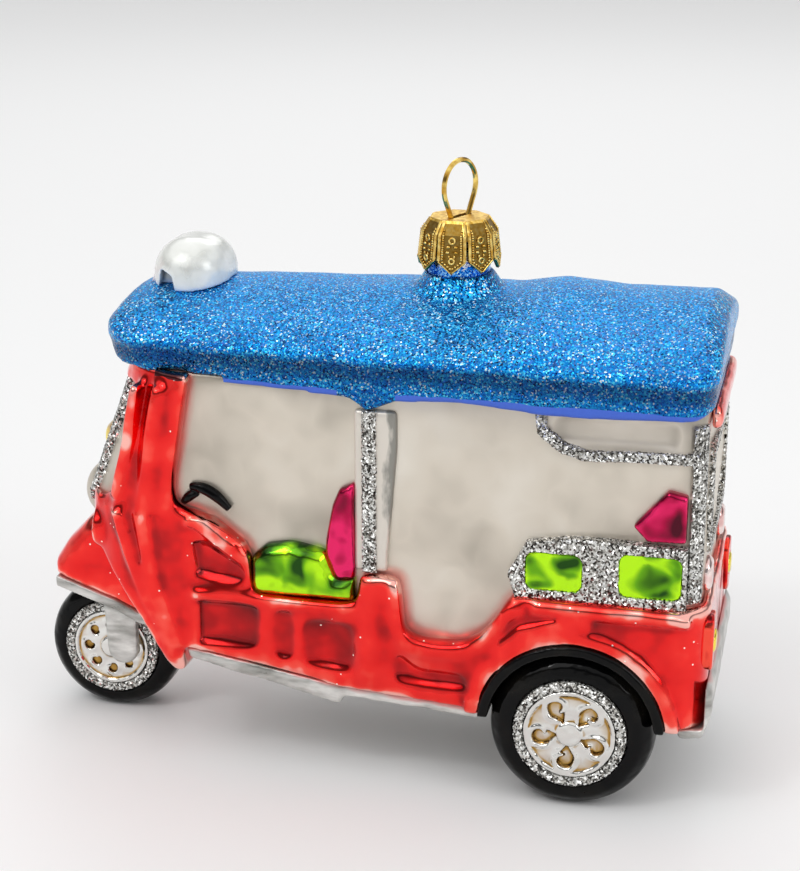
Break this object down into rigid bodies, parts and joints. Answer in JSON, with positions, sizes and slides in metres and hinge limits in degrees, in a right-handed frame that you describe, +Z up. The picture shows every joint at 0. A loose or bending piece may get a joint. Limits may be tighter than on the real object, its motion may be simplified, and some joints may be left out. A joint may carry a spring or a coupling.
{
  "type": "glass hanging ornament, auto-rickshaw",
  "caption": "Mouth-blown glass hanging ornament in the shape of a three-wheeled taxi, with a crimped gold cap and a sprung wire hanger.",
  "frame": {"origin": "on the surface the ornament stands on, under the middle of its bounding box", "axes": "+X to the vehicle's front, +Y to its left, +Z up"},
  "size_m": [0.1143, 0.0456, 0.0975],
  "materials": {
    "pearl_glass": "satin pearl lacquer over silvered blown glass",
    "clear_glass": "clear blown glass, fire-cut rim",
    "pink_glass": "clear pink lacquer over silvering",
    "red_lacquer": "clear red lacquer over silvering, glossy",
    "blue_glitter": "dense blue glitter in clear lacquer",
    "blue_lacquer": "clear blue lacquer, glossy",
    "black_lacquer": "black enamel, glossy",
    "silver_glitter": "coarse silver glitter in clear glue",
    "silvered_glass": "bare silvered glass, mirror bright",
    "silver_paint": "silver-grey enamel, satin",
    "green_lacquer": "clear green lacquer over silvering, glossy",
    "magenta_lacquer": "clear magenta lacquer over silvering, glossy",
    "yellow_lacquer": "yellow lacquer, glossy",
    "gold_cap": "gold-lacquered pressed sheet, bright",
    "gold_wire": "brass-plated spring wire, bright"
  },
  "bodies": {
    "glass": {"cabin": "pearl_glass", "lower_body": "red_lacquer", "front_pillars": "red_lacquer", "front_guard": "red_lacquer", "guard_rim": "silver_paint", "leg_shield": "red_lacquer", "lamp_pods": "red_lacquer", "screen_frame": "silver_glitter", "screen_boss": "yellow_lacquer", "headlamp": "pearl_glass", "front_tyre": "black_lacquer", "rear_tyres": "black_lacquer", "front_hubs": "silvered_glass", "front_hub_rings": "silver_glitter", "rear_hubs": "silvered_glass", "rear_hub_rings": "silver_glitter", "fork_covers": "silver_paint", "rear_arches": "black_lacquer", "sills": "silver_paint", "floor_pan": "silvered_glass", "bumper": "silver_paint", "tail_lamps": "red_lacquer", "tail_lenses": "yellow_lacquer", "marker_lamps": "pink_glass", "rear_frame": "silver_glitter", "rear_header": "red_lacquer", "driver_cushion": "green_lacquer", "driver_backrest": "magenta_lacquer", "middle_posts": "pearl_glass", "post_strips": "silver_glitter", "bench_backrest": "magenta_lacquer", "handlebar": "black_lacquer", "arm_frames": "silver_glitter", "arm_panels": "green_lacquer", "quarter_lines": "silver_glitter", "roof_rim": "blue_lacquer", "roof_canopy": "blue_glitter", "roof_lamp": "pearl_glass", "neck": "clear_glass"},
    "cap": {"cap": "gold_cap"},
    "hanger": {"hanger_wire": "gold_wire"}
  },
  "joints": [
    {"name": "cap_lift", "type": "slide", "parent": "glass", "child": "cap", "axis": [0, 0, 1], "range_m": [0, 0.025]},
    {"name": "loop_tilt", "type": "hinge", "parent": "cap", "child": "hanger", "pos_m": [-0.0128, 0, 0.0882], "axis": [0.4384, 0.8988, 0], "range_deg": [-8, 8]}
  ]
}
